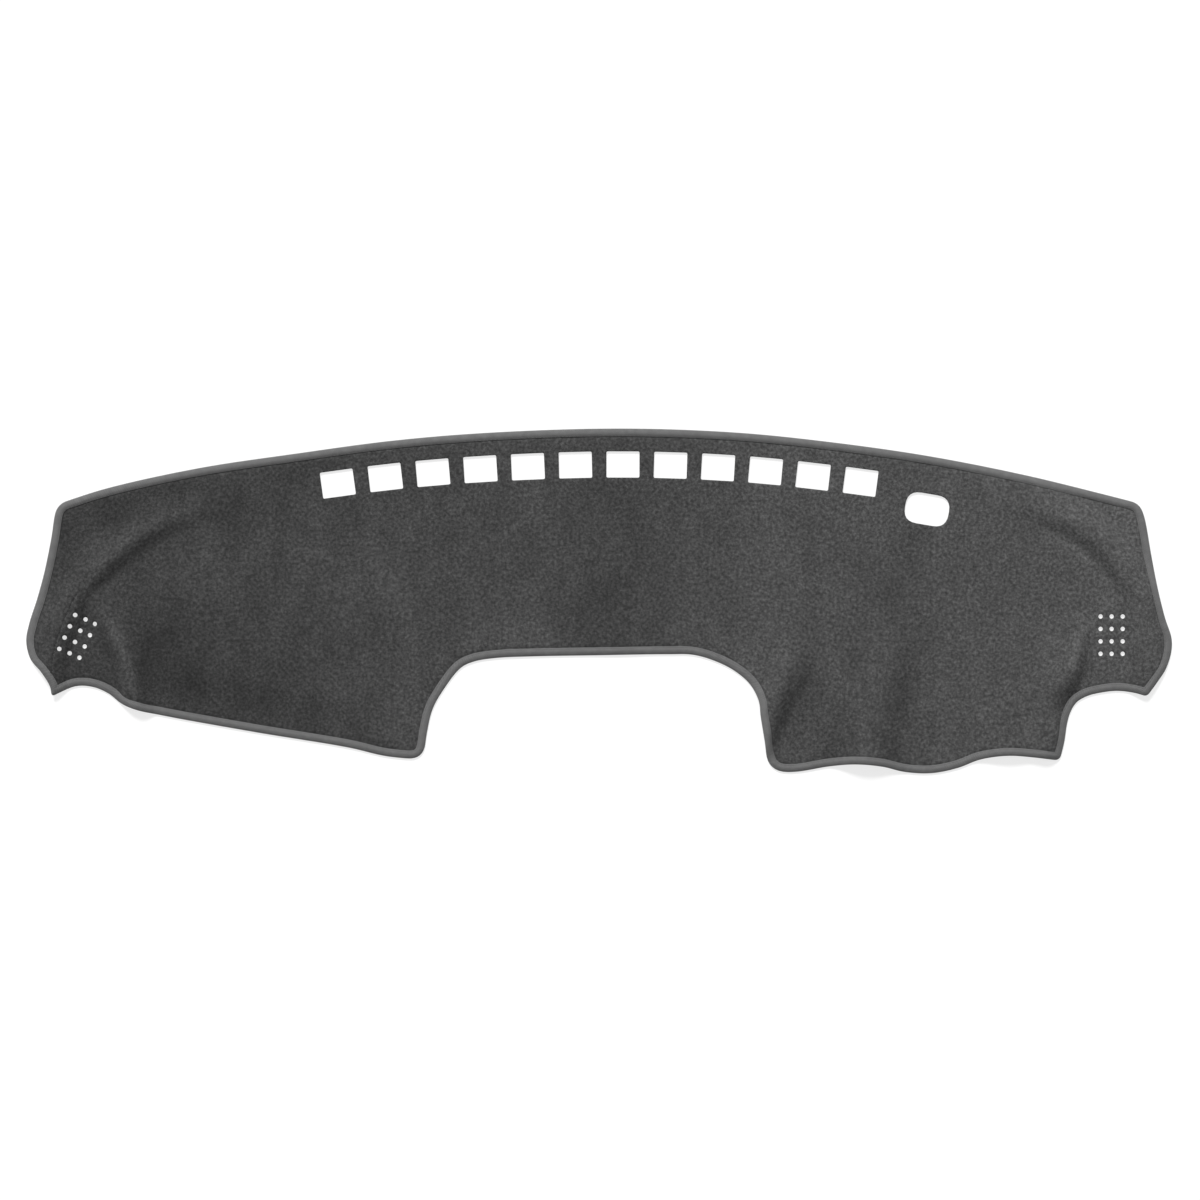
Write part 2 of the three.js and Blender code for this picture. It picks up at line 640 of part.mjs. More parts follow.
const group = new THREE.Group();
group.add(piece('carpet_panel', carpetPanel(), carpetMaterial));
group.add(piece('edge_binding', edgeBinding(), tapeMaterial));

export default group;
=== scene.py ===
import math

import bmesh
import bpy
import numpy as np
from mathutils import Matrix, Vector, geometry, noise


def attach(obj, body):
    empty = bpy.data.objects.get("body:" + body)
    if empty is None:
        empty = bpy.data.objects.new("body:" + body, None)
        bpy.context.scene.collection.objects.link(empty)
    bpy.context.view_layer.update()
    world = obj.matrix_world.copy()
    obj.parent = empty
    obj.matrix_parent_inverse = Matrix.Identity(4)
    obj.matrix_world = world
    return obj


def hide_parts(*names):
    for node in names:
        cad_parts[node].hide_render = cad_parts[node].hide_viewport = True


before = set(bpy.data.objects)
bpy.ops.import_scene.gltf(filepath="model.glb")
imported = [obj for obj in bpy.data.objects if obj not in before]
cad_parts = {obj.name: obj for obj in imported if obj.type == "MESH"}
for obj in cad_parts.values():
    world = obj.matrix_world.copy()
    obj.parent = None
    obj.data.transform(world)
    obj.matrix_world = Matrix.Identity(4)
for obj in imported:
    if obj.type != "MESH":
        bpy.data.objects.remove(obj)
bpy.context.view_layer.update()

# Carpet panel: one sheet of grey needle-felt, die-cut to the top of a dashboard and laid face up
# on a flat floor. It keeps the folds that its sewn darts and the driver's flap press into it.
# Lengths are in millimetres until a mesh is made. The sides run clockwise round the mat.
MAT_WIDTH = 1400
MAT_DEPTH = 421
EDGE_CROWN = 91.5
CORNER_INSET = 40
END_DEPTH = 236
TIP_INSET = 31
END_BULGE = 34
NOTCH_DEPTH = 45
ARCH_DEPTH = 20
DRIVER_FLAP_WIDTH = 357
DRIVER_FLAP_INSET = 137
DRIVER_HEM_RISE = 15
HEM_RUFFLE = 9
CUTOUT_WIDTH = 421
CUTOUT_DEPTH = 136
PASSENGER_HEM_RISE = 16

left = -MAT_WIDTH / 2
right = MAT_WIDTH / 2
back = MAT_DEPTH / 2
front = -MAT_DEPTH / 2
left_corner = np.array([left + CORNER_INSET, back - EDGE_CROWN])
right_corner = np.array([right - CORNER_INSET, back - EDGE_CROWN])
left_tip = np.array([left + TIP_INSET, back - EDGE_CROWN - END_DEPTH])
right_tip = np.array([right - TIP_INSET, back - EDGE_CROWN - END_DEPTH])
notch_foot = np.array([right - DRIVER_FLAP_INSET, front + DRIVER_HEM_RISE])
driver_foot = np.array([notch_foot[0] - DRIVER_FLAP_WIDTH, front + 1])
passenger_foot = np.array([driver_foot[0] - CUTOUT_WIDTH, front + PASSENGER_HEM_RISE])

# Each side has its two ends, its bow, the rounding of its last corner, and its shape: points
# as a share of the way along and a share of the bow
SIDES = [
    (left_corner, right_corner, EDGE_CROWN, 9,
     [(0.045, 0.205), (0.13, 0.473), (0.22, 0.667), (0.31, 0.84), (0.4, 0.946), (0.52, 1),
      (0.627, 0.946), (0.717, 0.814), (0.806, 0.63), (0.895, 0.376), (0.965, 0.13)]),
    (right_corner, right_tip, END_BULGE, 4,
     [(0.07, 0.17), (0.27, 0.37), (0.46, 0.57), (0.6, 0.78), (0.7, 0.98), (0.77, 0.96),
      (0.86, 0.74), (0.93, 0.39)]),
    (right_tip, notch_foot, -NOTCH_DEPTH, 6,
     [(0.07, 0.27), (0.19, 0.6), (0.34, 0.85), (0.44, 0.965), (0.55, 1), (0.65, 0.89),
      (0.74, 0.69), (0.86, 0.34)]),
    (notch_foot, driver_foot, HEM_RUFFLE, 24,
     [(0.09, -0.59), (0.18, -0.96), (0.27, -0.59), (0.35, 0.46), (0.44, 1.02), (0.53, 0.72),
      (0.61, -0.16), (0.7, -0.61), (0.79, -0.44), (0.9, 0.1)]),
    (driver_foot, passenger_foot, -CUTOUT_DEPTH, 19,
     [(0.01, 0.23), (0.027, 0.5), (0.034, 0.64), (0.061, 0.785), (0.11, 0.905), (0.168, 0.985),
      (0.229, 1.03), (0.3, 1.027), (0.5, 0.996), (0.7, 0.963), (0.8, 0.938), (0.862, 0.9),
      (0.9, 0.84), (0.949, 0.635), (0.978, 0.46), (0.991, 0.27)]),
    (passenger_foot, left_tip, ARCH_DEPTH, 4,
     [(0.1, 0.16), (0.2, 0.03), (0.45, 0.06), (0.7, 0.01), (0.77, -0.065), (0.814, -0.28),
      (0.854, -0.765), (0.897, -0.99), (0.942, -0.86)]),
    (left_tip, left_corner, END_BULGE, 9,
     [(0.05, 0.06), (0.12, 0.38), (0.19, 0.82), (0.28, 1), (0.37, 0.92), (0.5, 0.67),
      (0.64, 0.445), (0.82, 0.24), (0.95, 0.13)]),
]


def smooth_line(points, steps):
    """A smooth curve through the points, with a number of steps from each to the next"""
    points = np.array(points, float)
    ends = [2 * points[0] - points[1], *points, 2 * points[-1] - points[-2]]
    line = []
    for p0, p1, p2, p3 in zip(ends, ends[1:], ends[2:], ends[3:]):
        t0, t1, t2 = (math.dist(a, b) ** 0.5 for a, b in ((p0, p1), (p1, p2), (p2, p3)))
        enter = ((p1 - p0) / t0 - (p2 - p0) / (t0 + t1) + (p2 - p1) / t1) * t1
        leave = ((p2 - p1) / t1 - (p3 - p1) / (t1 + t2) + (p3 - p2) / t2) * t1
        for t in np.arange(steps) / steps:
            line.append(p1 + t * enter + t ** 2 * (3 * (p2 - p1) - 2 * enter - leave)
                        + t ** 3 * (2 * (p1 - p2) + enter + leave))
    return np.array([*line, points[-1]])


def even_steps(line, step):
    """The same line with its points at even distances of about one step"""
    lengths = np.concatenate(([0], np.cumsum(np.linalg.norm(np.diff(line, axis=0), axis=1))))
    marks = np.linspace(0, lengths[-1], math.ceil(lengths[-1] / step) + 1)
    return np.column_stack([np.interp(marks, lengths, column) for column in line.T])


def bend(start, corner, end, steps):
    """A rounded corner from start to end, both left out"""
    t = np.linspace(0, 1, steps + 1)[1:-1, None]
    return (1 - t) ** 2 * start + 2 * t * (1 - t) * corner + t ** 2 * end


def trace_outline(step):
    """The mat's edge as closely spaced points, with its corners rounded"""
    runs = []
    for index, (start, end, bow, corner, shape) in enumerate(SIDES):
        along = end - start
        outward = np.array([-along[1], along[0]]) / np.linalg.norm(along)
        points = [start + share * along + rise * bow * outward
                  for share, rise in [(0, 0), *shape, (1, 0)]]
        line = even_steps(smooth_line(points, steps=24), step)
        clear = np.linalg.norm(line - start, axis=1) > SIDES[index - 1][3]
        clear &= np.linalg.norm(line - end, axis=1) > corner
        runs.append(line[clear])
    trace = []
    for run, following, side in zip(runs, runs[1:] + runs[:1], SIDES):
        trace += [run, bend(run[-1], side[1], following[0], steps=8)]
    return np.concatenate(trace)


# The folds: height of the crest, its spread to the left and the right of someone who walks
# along it, a corner to measure from, and points with their share of the height
FOLDS = [
    (15, 36, 24, left_tip, [
        (-3, -12, 0.25), (4, 54, 0.8), (14, 86, 0.95), (28, 118, 1), (41, 139, 0.95),
        (65, 165, 0.8), (101, 194, 0.6), (138, 214, 0.42), (205, 238, 0.16), (270, 255, 0)]),
    (12, 24, 24, left_tip, [
        (50, 136, 0.2), (63, 102, 0.8), (80, 69, 1), (92, 44, 1), (100, 10, 0.95),
        (104, -12, 0.85), (107, -34, 0.7)]),
    (15, 36, 24, right_tip, [
        (-240, 262, 0), (-177, 246, 0.25), (-116, 223, 0.6), (-66, 197, 0.9), (-35, 163, 1),
        (-13, 126, 0.95), (-6, 90, 0.85), (-5, 55, 0.7), (0, -12, 0.25)]),
    (13, 50.4, 21, notch_foot, [
        (-24, -12, 0.45), (-19, 9, 0.65), (-14, 30, 0.8), (-12, 62, 0.85), (-4, 84, 0.95),
        (7, 98, 1), (15, 116, 1), (18, 138, 0.9), (20, 160, 0.5), (22, 184, 0)]),
    (14, 50, 50, notch_foot, [(-63, -15, 0.8), (-63, 36, 0.6), (-66, 86, 0.3), (-70, 146, 0)]),
    (14, 46, 58, driver_foot, [
        (116, -5, 1), (120, 33, 1), (128, 76, 0.9), (140, 113, 0.72), (153, 149, 0.45),
        (164, 180, 0.2), (172, 213, 0)]),
    (12, 42, 22, driver_foot, [
        (-8, 34, 0.7), (3, 60, 0.9), (13, 84, 1), (27, 110, 0.85), (40, 131, 0.4),
        (54, 152, 0)]),
    (4, 48, 48, np.array([0, back]), [
        (8, -100, 0), (13, -160.8, 1), (19, -210.2, 1), (25, -261.5, 0.4), (27, -290, 0)]),
    (8, 95, 95, left_tip, [
        (110, 128, 0), (190, 120, 0.9), (300, 112, 1), (400, 108, 0.5), (470, 105, 0)]),
]
FOLD_BLEND = 3
crests = [smooth_line([(*(origin + (x, y)), share * height) for x, y, share in points], steps=6)
          for height, _, _, origin, points in FOLDS]


def nearest_on(line, x, y):
    """Distance to a line from each point, the line's height there, and on which side it is"""
    nearest = np.full(x.shape, np.inf)
    height = np.zeros(x.shape)
    is_left = np.ones(x.shape, bool)
    for a, b in zip(line, line[1:]):
        dx, dy = b[:2] - a[:2]
        share = np.clip(((x - a[0]) * dx + (y - a[1]) * dy) / (dx * dx + dy * dy), 0, 1)
        distance = np.hypot(x - a[0] - share * dx, y - a[1] - share * dy)
        closer = distance < nearest
        nearest[closer] = distance[closer]
        height[closer] = (a[2] + share * (b[2] - a[2]))[closer]
        is_left[closer] = (dx * (y - a[1]) - dy * (x - a[0]) > 0)[closer]
    return nearest, height, is_left


def underside(x, y):
    """Height of the carpet's underside above the floor"""
    total = np.zeros(x.shape)
    for (_, left_spread, right_spread, _, _), crest in zip(FOLDS, crests):
        spread = max(left_spread, right_spread)
        low, high = crest[:, :2].min(0) - spread, crest[:, :2].max(0) + spread
        near = (x > low[0]) & (x < high[0]) & (y > low[1]) & (y < high[1])
        distance, top, is_left = nearest_on(crest, x[near], y[near])
        reach = np.minimum(distance / np.where(is_left, left_spread, right_spread), 1)
        total[near] += (np.maximum(top, 0) * (1 + np.cos(np.pi * reach)) / 2) ** FOLD_BLEND
    return total ** (1 / FOLD_BLEND)


def lay(points, level):
    """Points of the flat sheet, each at a level in its thickness, laid over the folds"""
    x, y = points.T
    step = 0.5
    slope_x = (underside(x + step, y) - underside(x - step, y)) / (2 * step)
    slope_y = (underside(x, y + step) - underside(x, y - step)) / (2 * step)
    steepness = np.sqrt(1 + slope_x ** 2 + slope_y ** 2)
    return np.column_stack([x, y, underside(x, y) + level * steepness])


# The stations are points along the edge. Each has a direction into the mat, which is shorter
# where the edge is turned down, because the tape keeps its width along the slope.
TAPE_WIDTH = 10.4
STATION_PITCH = 2.5
stations = trace_outline(STATION_PITCH)
entry = stations - np.roll(stations, 1, 0)
entry /= np.linalg.norm(entry, axis=1)[:, None]
tangent = entry + np.roll(entry, -1, 0)
tangent /= np.linalg.norm(tangent, axis=1)[:, None]
inward = np.column_stack([tangent[:, 1], -tangent[:, 0]])
inner = stations + TAPE_WIDTH * inward
drop = underside(*inner.T) - underside(*stations.T)
inward *= (TAPE_WIDTH / np.hypot(TAPE_WIDTH, drop))[:, None]
LONGEST_LOOP = 40


def rail(inset):
    """The line round the mat at one distance in from its edge, with its sharp corners mitred"""
    line = stations + inset * inward
    for reach in range(LONGEST_LOOP, 1, -1):
        ab = np.roll(line, -1, 0) - line
        cd = np.roll(line, -reach - 1, 0) - np.roll(line, -reach, 0)
        ac = np.roll(line, -reach, 0) - line
        scale = ab[:, 0] * cd[:, 1] - ab[:, 1] * cd[:, 0]
        scale[scale == 0] = np.inf
        share = (ac[:, 0] * cd[:, 1] - ac[:, 1] * cd[:, 0]) / scale
        other = (ac[:, 0] * ab[:, 1] - ac[:, 1] * ab[:, 0]) / scale
        meets = np.isfinite(scale) & (share >= 0) & (share <= 1) & (other >= 0) & (other <= 1)
        for start in np.flatnonzero(meets):
            mitre = line[start] + share[start] * ab[start]
            line[(start + 1 + np.arange(reach)) % len(line)] = mitre
    return line


# What is cut out of the panel: windows as (x, y, turn, width, depth, corner) and punched holes
TAPE_TO_WINDOW = 17.5
WINDOW = (40.4, 32, 2)
WINDOW_COUNT = 12
WINDOW_PITCH = 58.1
SENSOR = (54, 38, 17)
SENSOR_X = 400.75
TAPE_TO_SENSOR = 36
PUNCH_RADIUS = 2.75
ROW_PITCH = 15.2
NEARBY = 60


def edge_place(x, set_back):
    """Place and turn of a window that lies a set distance in from the windscreen edge"""
    is_near = (stations[:, 1] > left_corner[1]) & (np.abs(stations[:, 0] - x) < NEARBY)
    top = stations[is_near]
    curve, slope, _ = np.polyfit(*top.T, 2)
    edge = np.interp(x, *top[top[:, 0].argsort()].T)
    return x, edge - set_back, math.atan(2 * curve * x + slope)


window_set_back = TAPE_WIDTH + TAPE_TO_WINDOW + WINDOW[1] / 2
sensor_set_back = TAPE_WIDTH + TAPE_TO_SENSOR + SENSOR[1] / 2
windows = [(*edge_place((i - (WINDOW_COUNT - 1) / 2) * WINDOW_PITCH, window_set_back), *WINDOW)
           for i in range(WINDOW_COUNT)]
windows.append((*edge_place(SENSOR_X, sensor_set_back), *SENSOR))


def punch_block(centre, column_pitch, turn):
    """Centres of a block of punched holes, four rows of three"""
    cos, sin = math.cos(math.radians(turn)), math.sin(math.radians(turn))
    grid = [((column - 1) * column_pitch, (row - 1.5) * ROW_PITCH)
            for row in range(4) for column in range(3)]
    return [centre + (x * cos - y * sin, x * sin + y * cos) for x, y in grid]


punches = (punch_block(left_tip + (31.5, 73.5), column_pitch=12.9, turn=-25)
           + punch_block(right_tip + (-42.5, 75), column_pitch=13.5, turn=0))
WINDOW_EDGE_STEP = 3


def window_ring(window, growth):
    """The edge of a window, moved out by some growth"""
    x, y, turn, width, depth, corner = window
    half = np.array([width / 2 + growth, depth / 2 + growth])
    radius = corner + growth
    loop = []
    for sign_x, sign_y in ((1, -1), (1, 1), (-1, 1), (-1, -1)):
        point = half * (sign_x, sign_y)
        foot = point - (sign_x * radius, 0)
        head = point - (0, sign_y * radius)
        if sign_x * sign_y > 0:
            foot, head = head, foot
        loop += [foot, *bend(foot, point, head, steps=6), head]
    fine = []
    for a, b in zip(loop, loop[1:] + loop[:1]):
        count = max(1, round(math.dist(a, b) / WINDOW_EDGE_STEP))
        fine += [a + (b - a) * i / count for i in range(count)]
    cos, sin = math.cos(turn), math.sin(turn)
    return np.array(fine) @ ((cos, sin), (-sin, cos)) + (x, y)


# Lines pressed or sewn into the pile, as points with a depth: the two sewn darts, and the
# crease that packing left beside the cut-out
SEAM_DEPTH = 1.5
SEAM_WIDTH = 1.3
CREASE_WIDTH = 1.6
left_seam = smooth_line([
    (*left_tip + place, SEAM_DEPTH * share) for *place, share in (
        (1, 18, 1), (4, 54, 1), (14, 86, 1), (22, 105, 0.9), (29.5, 120.5, 0.6), (41, 139, 0))],
    steps=8)
right_seam = smooth_line([
    (*right_tip + place, SEAM_DEPTH * share) for *place, share in (
        (-3, 18, 0.8), (-5.5, 55, 0.8), (-6.5, 90, 0.7), (-10, 114, 0.4), (-16, 135, 0))],
    steps=8)
crease = smooth_line([
    (*passenger_foot + place, depth) for *place, depth in (
        (-26, 195, 0), (-31, 150, 0.25), (-34.5, 111, 0.5), (-36, 90, 0.9), (-38, 65, 1),
        (-41, 42, 0.7), (-45, 30, 0))], steps=8)
grooves = [(left_seam, SEAM_WIDTH), (right_seam, SEAM_WIDTH), (crease, CREASE_WIDTH)]


def inside(points, loop):
    """Whether each point lies within a closed line"""
    x, y = points.T
    result = np.zeros(len(points), bool)
    for (ax, ay), (bx, by) in zip(loop, np.roll(loop, -1, 0)):
        if ay != by:
            result ^= ((ay > y) != (by > y)) & (x < ax + (y - ay) * (bx - ax) / (by - ay))
    return result


def clear_of_cuts(points, margin):
    """The points that lie on the carpet with a margin round its holes"""
    for window in windows:
        points = points[~inside(points, window_ring(window, margin))]
    for centre in punches:
        points = points[np.linalg.norm(points - centre, axis=1) > PUNCH_RADIUS + margin]
    return points


# The panel is a pair of faces that share one triangulation. Near the tape and round each hole
# it has rings of points, each with a distance and the levels of the upper and the lower face.
# Elsewhere its points stand in rows along the grooves and in a grid of triangles.
PILE = 3.0
TAPE_RINGS = [(1.95, 2.5, 0.95), (6, 2.5, 0.95), (9.3, 2.45, 0.9), (10.1, 2.25, 0.8),
              (11, 2.6, 0.1), (12.2, 2.9, 0), (14.8, PILE, 0)]
CUT_RINGS = [(0, 2.2, 0.2), (0.35, 2.65, 0.05), (0.9, 2.92, 0), (1.9, PILE, 0)]
WIDEST_PUNCH_RING = 1
PUNCH_SIDES = 16
CLOSEST = 0.3
GROOVE_STEP = 1.8
GROOVE_OFFSETS = (-2.2, -1.2, -0.5, 0, 0.5, 1.2, 2.2)
GROOVE_TO_CUT = 1.2
GRID = 4.6
GRID_INSET = 17.5
GRID_TO_CUT = 3.6
GRID_TO_GROOVE = 4.2

plan = []
levels = []
cut_lines = []


def add_points(points, top, bottom, is_cut=False):
    """Points for the triangulation, which may also be the line of a cut"""
    if is_cut:
        cut_lines.append(list(range(len(plan), len(plan) + len(points))))
    plan.extend(points)
    levels.extend([(top, bottom)] * len(points))


for inset, top, bottom in TAPE_RINGS:
    line = rail(inset)
    line = line[np.linalg.norm(line - np.roll(line, 1, 0), axis=1) > CLOSEST]
    add_points(line, top, bottom, is_cut=inset == TAPE_RINGS[0][0])
turns = np.linspace(0, 2 * np.pi, PUNCH_SIDES, endpoint=False)
circle = np.column_stack([np.cos(turns), np.sin(turns)])
for growth, top, bottom in CUT_RINGS:
    for window in windows:
        add_points(window_ring(window, growth), top, bottom, is_cut=growth == 0)
    if growth < WIDEST_PUNCH_RING:
        for centre in punches:
            ring = centre + (PUNCH_RADIUS + growth) * circle
            add_points(ring, top, bottom, is_cut=growth == 0)
for line, _ in grooves:
    path = even_steps(line[:, :2], GROOVE_STEP)
    along = np.gradient(path, axis=0)
    across = np.column_stack([-along[:, 1], along[:, 0]]) / np.linalg.norm(along, axis=1)[:, None]
    for offset in GROOVE_OFFSETS:
        add_points(clear_of_cuts(path + offset * across, GROOVE_TO_CUT), PILE, 0)
rows = np.arange(front, back, GRID * math.sqrt(0.75))
columns = np.arange(left, right, GRID)
grid = np.array([(x + GRID / 2 * (row % 2), y) for row, y in enumerate(rows) for x in columns])
grid = clear_of_cuts(grid[inside(grid, rail(GRID_INSET))], GRID_TO_CUT)
for line, _ in grooves:
    grid = grid[nearest_on(line, *grid.T)[0] > GRID_TO_GROOVE]
add_points(grid, PILE, 0)

INSIDE_WITH_HOLES = 2
MERGE_DISTANCE = 1e-3
flat, _, triangles, sources, _, _ = geometry.delaunay_2d_cdt(
    [Vector(point) for point in plan], [], cut_lines, INSIDE_WITH_HOLES, MERGE_DISTANCE)
flat = np.array([tuple(point) for point in flat])
top, bottom = np.array([levels[source[0]] for source in sources]).T

# The pile dips along each groove, with a low bank on either side, and is a little uneven
BANK_SHARE = 0.3
BANK_WIDTH = 5
WAVE_LENGTH = 26
WAVE_HEIGHT = 0.4
FULL_PILE = PILE - 0.3
for line, width in grooves:
    distance, depth, _ = nearest_on(line, *flat.T)
    groove = depth * np.exp(-(distance / width) ** 2)
    bank = BANK_SHARE * depth * np.exp(-(distance / BANK_WIDTH) ** 2)
    top -= groove - bank
unevenness = np.array([noise.noise(Vector((x, y, 0)) / WAVE_LENGTH) for x, y in flat])
top += np.where(top > FULL_PILE, WAVE_HEIGHT * unevenness, 0)

# How light the pile looks, from 0 to 1, which paints light and shade into the felt's colour. A
# painted sheen makes it lighter towards the right, and it changes in tracks, each a width and
# points with the change there.
MIDDLE_LIGHTNESS = 0.5
RIGHTWARD_PAINTED_SHEEN = 0.25
BACK_LIGHTNESS = 0.45
# Tracks of painted highlight along the fold crests and of painted shade in their hollows and on
# the slopes beside them, with some broad tracks where the pile lies unevenly
PAINTED_SHADE_AND_PILE_TRACKS = [
    (62, [(30, 170, -0.1), (24, 80, -0.16), (18, 0, -0.2), (12, -60, -0.2)]),
    (36, [(205, 150, 0.08), (215, 60, 0.12), (212, -30, 0.12), (196, -85, 0.08)]),
    (32, [(352, 165, -0.1), (385, 95, -0.12), (372, 20, -0.12), (368, -30, -0.08)]),
    (26, [(-275, 90, 0.05), (-262, 10, 0.12), (-240, -80, 0.12), (-232, -160, 0.14)]),
    (32, [(-545, -60, -0.12), (-512, -95, -0.22), (-440, -120, -0.2), (-350, -145, -0.16),
          (-280, -165, -0.08)]),
    (36, [(-630, 90, -0.08), (-520, 125, -0.1), (-400, 148, -0.08)]),
    (26, [(-150, -40, 0.1), (-95, -42, 0.2), (-55, -50, 0.14)]),
    (24, [(120, -45, 0.05), (160, -55, 0.1), (205, -95, 0.1)]),
    (14, [(-376, -34, -0.1), (-364, -42, -0.1)]),
    (30, [(560, 130, 0.06), (640, 105, 0.22), (655, 40, 0.18), (655, -30, 0.12)]),
    (34, [(225, 165, 0.12), (320, 160, 0.16), (430, 140, 0.1)]),
    (26, [(-650, 40, 0.04), (-652, -10, 0.14), (-655, -50, 0.08)]),
    (7, [(-603, -10, 0.14), (-588, -45, 0.3), (-577, -72, 0.4), (-569, -110, 0.4)]),
    (15, [(-566, -25, -0.04), (-556, -60, -0.08), (-548, -105, -0.1)]),
    (10, [(-500, 112, 0.12), (-539, 98, 0.26), (-596, 56, 0.26), (-628, 9, 0.16),
          (-640, -30, 0.06)]),
    (24, [(376, -10, -0.06), (372, -60, -0.14), (366, -120, -0.24), (362, -190, -0.22)]),
    (36, [(240, -110, -0.14), (262, -160, -0.14), (290, -195, -0.14)]),
    (20, [(318, -80, -0.1), (314, -120, -0.16), (304, -190, -0.14)]),
    (5, [(318, -110, 0.1), (324, -190, 0.2)]),
    (8, [(252, -66, -0.1), (236, -90, -0.22), (222, -130, -0.22), (216, -165, -0.12)]),
    (15, [(586, -66, -0.06), (576, -96, -0.2), (564, -112, -0.26)]),
    (7, [(598, -22, 0.14), (588, -40, 0.3), (578, -78, 0.34)]),
    (11, [(480, 122, 0.12), (505, 112, 0.24), (561, 84, 0.28), (609, 46, 0.22), (637, 9, 0.1)]),
]
pile_and_painted_light = MIDDLE_LIGHTNESS + RIGHTWARD_PAINTED_SHEEN * flat[:, 0] / right
for width, points in PAINTED_SHADE_AND_PILE_TRACKS:
    distance, change, _ = nearest_on(smooth_line(points, steps=5), *flat.T)
    pile_and_painted_light += change * np.exp(-(distance / width) ** 2)
MM_PER_METRE = 1000


def new_piece(name, points, faces):
    """An object with a smooth mesh, made from millimetres"""
    mesh = bpy.data.meshes.new(name)
    mesh.from_pydata((np.asarray(points) / MM_PER_METRE).tolist(), [], faces)
    mesh.shade_smooth()
    piece = bpy.data.objects.new(name, mesh)
    bpy.context.scene.collection.objects.link(piece)
    return piece


count = len(flat)
used = {(a, b) for face in triangles for a, b in zip(face, face[1:] + face[:1])}
walls = [(b, a, a + count, b + count) for a, b in used if (b, a) not in used]
soles = [tuple(corner + count for corner in reversed(face)) for face in triangles]
panel = new_piece(
    "carpet_felt", np.concatenate([lay(flat, top), lay(flat, bottom)]),
    [*map(tuple, triangles), *soles, *walls])
panel.data.set_sharp_from_angle(angle=math.radians(50))
# The layer carries the painted sheen and painted fold shade with the pile's uneven lie; the
# underside has one even level
painted_light_and_pile_layer = panel.data.attributes.new("painted_light_and_pile_layer", "FLOAT", "POINT")
painted_light_and_pile_layer.data.foreach_set("value", np.concatenate([pile_and_painted_light, np.full(count, BACK_LIGHTNESS)]))


class Signal:
    """An output of a shader node, which takes part in plain arithmetic"""

    def __init__(self, nodes, socket):
        self.nodes = nodes
        self.socket = socket

    def math(self, operation, first, second=0.0):
        return self.nodes.add("ShaderNodeMath", {"operation": operation}, {0: first, 1: second})

    def __add__(self, other):
        return self.math("ADD", self, other)

    def __radd__(self, other):
        return self.math("ADD", other, self)

    def __sub__(self, other):
        return self.math("SUBTRACT", self, other)

    def __rsub__(self, other):
        return self.math("SUBTRACT", other, self)

    def __mul__(self, other):
        return self.math("MULTIPLY", self, other)

    def __rmul__(self, other):
        return self.math("MULTIPLY", other, self)

    def __pow__(self, other):
        return self.math("POWER", self, other)

    def sine(self):
        return self.math("SINE", self)


class Nodes:
    """The shader nodes of one material or world"""

    def __init__(self, owner):
        owner.use_nodes = True
        self.tree = owner.node_tree
        self.tree.nodes.clear()

    def add(self, kind, settings, sockets, output=0):
        node = self.tree.nodes.new(kind)
        for name, value in settings.items():
            setattr(node, name, value)
        for name, value in sockets.items():
            if isinstance(value, Signal):
                self.tree.links.new(value.socket, node.inputs[name])
            else:
                node.inputs[name].default_value = value
        return Signal(self, node.outputs[output]) if node.outputs else None

    def speckle(self, place, scale, detail):
        return self.add("ShaderNodeTexNoise", {}, {
            "Vector": place, "Scale": scale, "Detail": detail, "Roughness": 0.6})

    def blend(self, share, first, second):
        return self.add("ShaderNodeMix", {"data_type": "RGBA"}, {0: share, 6: first, 7: second}, 2)

    def finish(self, base, roughness, sheen, normal):
        shader = self.add("ShaderNodeBsdfPrincipled", {}, {
            "Base Color": base, "Roughness": roughness, "Sheen Weight": sheen,
            "Sheen Roughness": 0.6, "Specular IOR Level": 0.15, "Normal": normal})
        self.add("ShaderNodeOutputMaterial", {}, {"Surface": shader})


def grey(level):
    """A grey, given as the level that a screen shows it with"""
    value = ((level / 255 + 0.055) / 1.055) ** 2.4
    return (value, value, value, 1)


# Felt: a salt-and-pepper mix of dark and light fibres in small tufts. How light it looks
# follows the painted sheen and painted fold shade of its layer, with the pile's uneven lie and
# short streaks that run from back to front.
felt = bpy.data.materials.new("carpet_felt")
nodes = Nodes(felt)
place = nodes.add("ShaderNodeTexCoord", {}, {}, "Object")
tufts = nodes.speckle(place, scale=275, detail=1.5)
fibres = nodes.speckle(place, scale=1200, detail=3)
streaks = nodes.add("ShaderNodeVectorMath", {"operation": "MULTIPLY"}, {0: place, 1: (1, 0.5, 1)})
drift = nodes.speckle(streaks, scale=30, detail=2)
painted_light_and_pile_value = nodes.add("ShaderNodeAttribute", {"attribute_name": "painted_light_and_pile_layer"}, {}, "Fac")
painted_light_and_streaks = nodes.add("ShaderNodeClamp", {}, {0: painted_light_and_pile_value + (drift - 0.5) * 0.55})
mottle = nodes.add("ShaderNodeClamp", {}, {0: (tufts - 0.5) * 1.25 + fibres}) ** 1.7
# Painted shade and light: a shaded and a lit copy of the felt, blended by the painted sheen, the
# painted fold shade and the uneven pile
shaded_felt = nodes.blend(mottle, grey(28), grey(63))
lit_felt = nodes.blend(mottle, grey(56), grey(125))
colour = nodes.blend(painted_light_and_streaks, shaded_felt, lit_felt)
pile_bump = nodes.add("ShaderNodeBump", {}, {
    "Strength": 0.6, "Distance": 0.0006, "Height": tufts * 0.6 + fibres * 0.4})
nodes.finish(colour, roughness=0.96 - 0.08 * mottle, sheen=0.06, normal=pile_bump)
panel.data.materials.append(felt)

